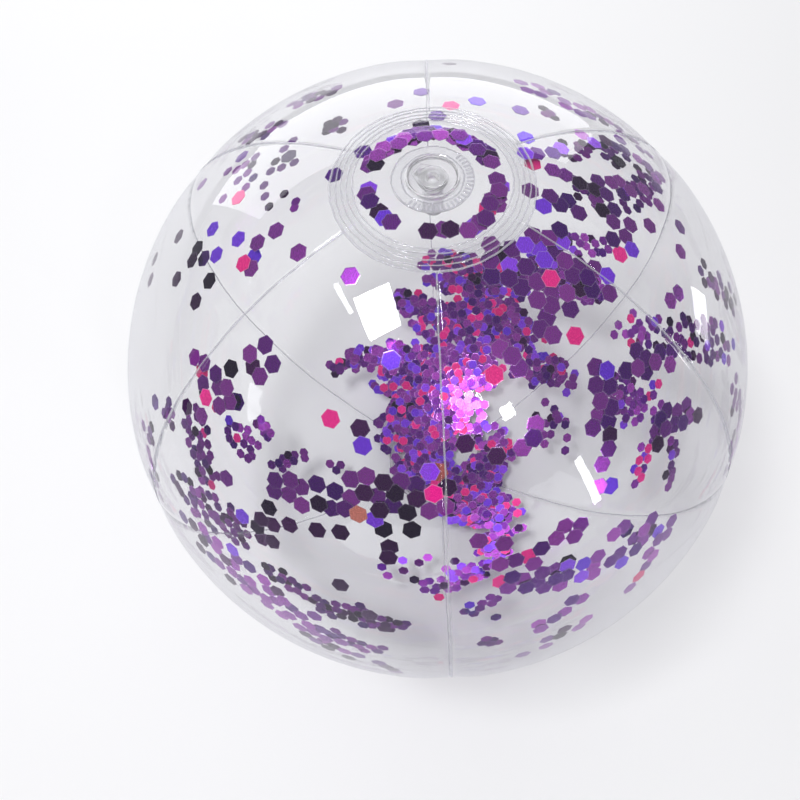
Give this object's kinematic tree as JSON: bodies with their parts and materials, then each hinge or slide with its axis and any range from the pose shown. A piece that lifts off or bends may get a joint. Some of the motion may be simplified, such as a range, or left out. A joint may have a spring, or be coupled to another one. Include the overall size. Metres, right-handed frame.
{
  "type": "inflatable beach ball",
  "caption": "Clear inflatable beach ball with loose hexagonal sequins inside, a push-in air valve on top and a small flat where it rests.",
  "frame": {"origin": "middle of the small flat where the ball rests, on the floor plane", "axes": "+Z is the ball's polar axis and points up through the valve; -Y points along the seam that faces the viewer"},
  "size_m": [0.3966, 0.4, 0.401],
  "materials": {
    "clear_film": "clear glossy film",
    "clear_vinyl": "clear soft moulded vinyl",
    "sequin_purple": "metallised film",
    "sequin_dark": "metallised film",
    "sequin_violet": "metallised film",
    "sequin_pink": "metallised film",
    "sequin_salmon": "metallised film"
  },
  "bodies": {
    "envelope": {"gore_1": "clear_film", "gore_2": "clear_film", "gore_3": "clear_film", "gore_4": "clear_film", "gore_5": "clear_film", "gore_6": "clear_film", "top_disc": "clear_film", "bottom_disc": "clear_film", "valve_flange": "clear_vinyl", "valve_web": "clear_vinyl", "cling_sequin_01": "sequin_dark", "cling_sequin_02": "sequin_purple", "cling_sequin_03": "sequin_purple", "cling_sequin_04": "sequin_violet", "cling_sequin_05": "sequin_purple", "cling_sequin_06": "sequin_violet", "cling_sequin_07": "sequin_dark", "cling_sequin_08": "sequin_purple", "cling_sequin_09": "sequin_pink", "cling_sequin_10": "sequin_purple", "cling_sequin_11": "sequin_dark", "cling_sequin_12": "sequin_purple", "cling_sequin_13": "sequin_purple", "cling_sequin_14": "sequin_violet", "cling_sequin_15": "sequin_dark", "cling_sequin_16": "sequin_pink", "cling_sequin_17": "sequin_dark", "cling_sequin_18": "sequin_purple", "cling_sequin_19": "sequin_pink", "cling_sequin_20": "sequin_dark", "cling_sequin_21": "sequin_dark", "cling_sequin_22": "sequin_dark", "cling_sequin_23": "sequin_salmon", "cling_sequin_24": "sequin_purple", "cling_sequin_25": "sequin_dark", "cling_sequin_26": "sequin_purple", "cling_sequin_27": "sequin_violet"},
    "valve_stem": {"valve_stem": "clear_vinyl"},
    "plug": {"plug": "clear_vinyl", "plug_strap": "clear_vinyl"},
    "check_flap": {"check_flap": "clear_vinyl"},
    "loose_sequins": {"loose_sequin_01": "sequin_purple", "loose_sequin_02": "sequin_dark", "loose_sequin_03": "sequin_pink", "loose_sequin_04": "sequin_violet", "loose_sequin_05": "sequin_purple", "loose_sequin_06": "sequin_dark", "loose_sequin_07": "sequin_purple", "loose_sequin_08": "sequin_violet", "loose_sequin_09": "sequin_pink", "loose_sequin_10": "sequin_purple", "loose_sequin_11": "sequin_pink", "loose_sequin_12": "sequin_dark", "loose_sequin_13": "sequin_purple"}
  },
  "joints": [
    {"name": "stem_slide", "type": "slide", "parent": "envelope", "child": "valve_stem", "axis": [0, 0, 1], "range_m": [0, 0.013], "deforming": ["valve_web"]},
    {"name": "plug_hinge", "type": "hinge", "parent": "valve_stem", "child": "plug", "pos_m": [-0.00712, 0.00598, 0.39869], "axis": [-0.6428, -0.766, 0], "range_deg": [0, 95]},
    {"name": "flap_hinge", "type": "hinge", "parent": "valve_stem", "child": "check_flap", "pos_m": [-0.00429, 0.0036, 0.37844], "axis": [0.6428, 0.766, 0], "range_deg": [0, 70], "stiffness_Nm_per_rad": 0.0001, "springref_deg": -17.19},
    {"name": "sequins_slide_round", "type": "hinge", "parent": "envelope", "child": "loose_sequins", "pos_m": [0, 0, 0.19999], "axis": [0, 1, 0], "range_deg": [-30, 30]}
  ]
}
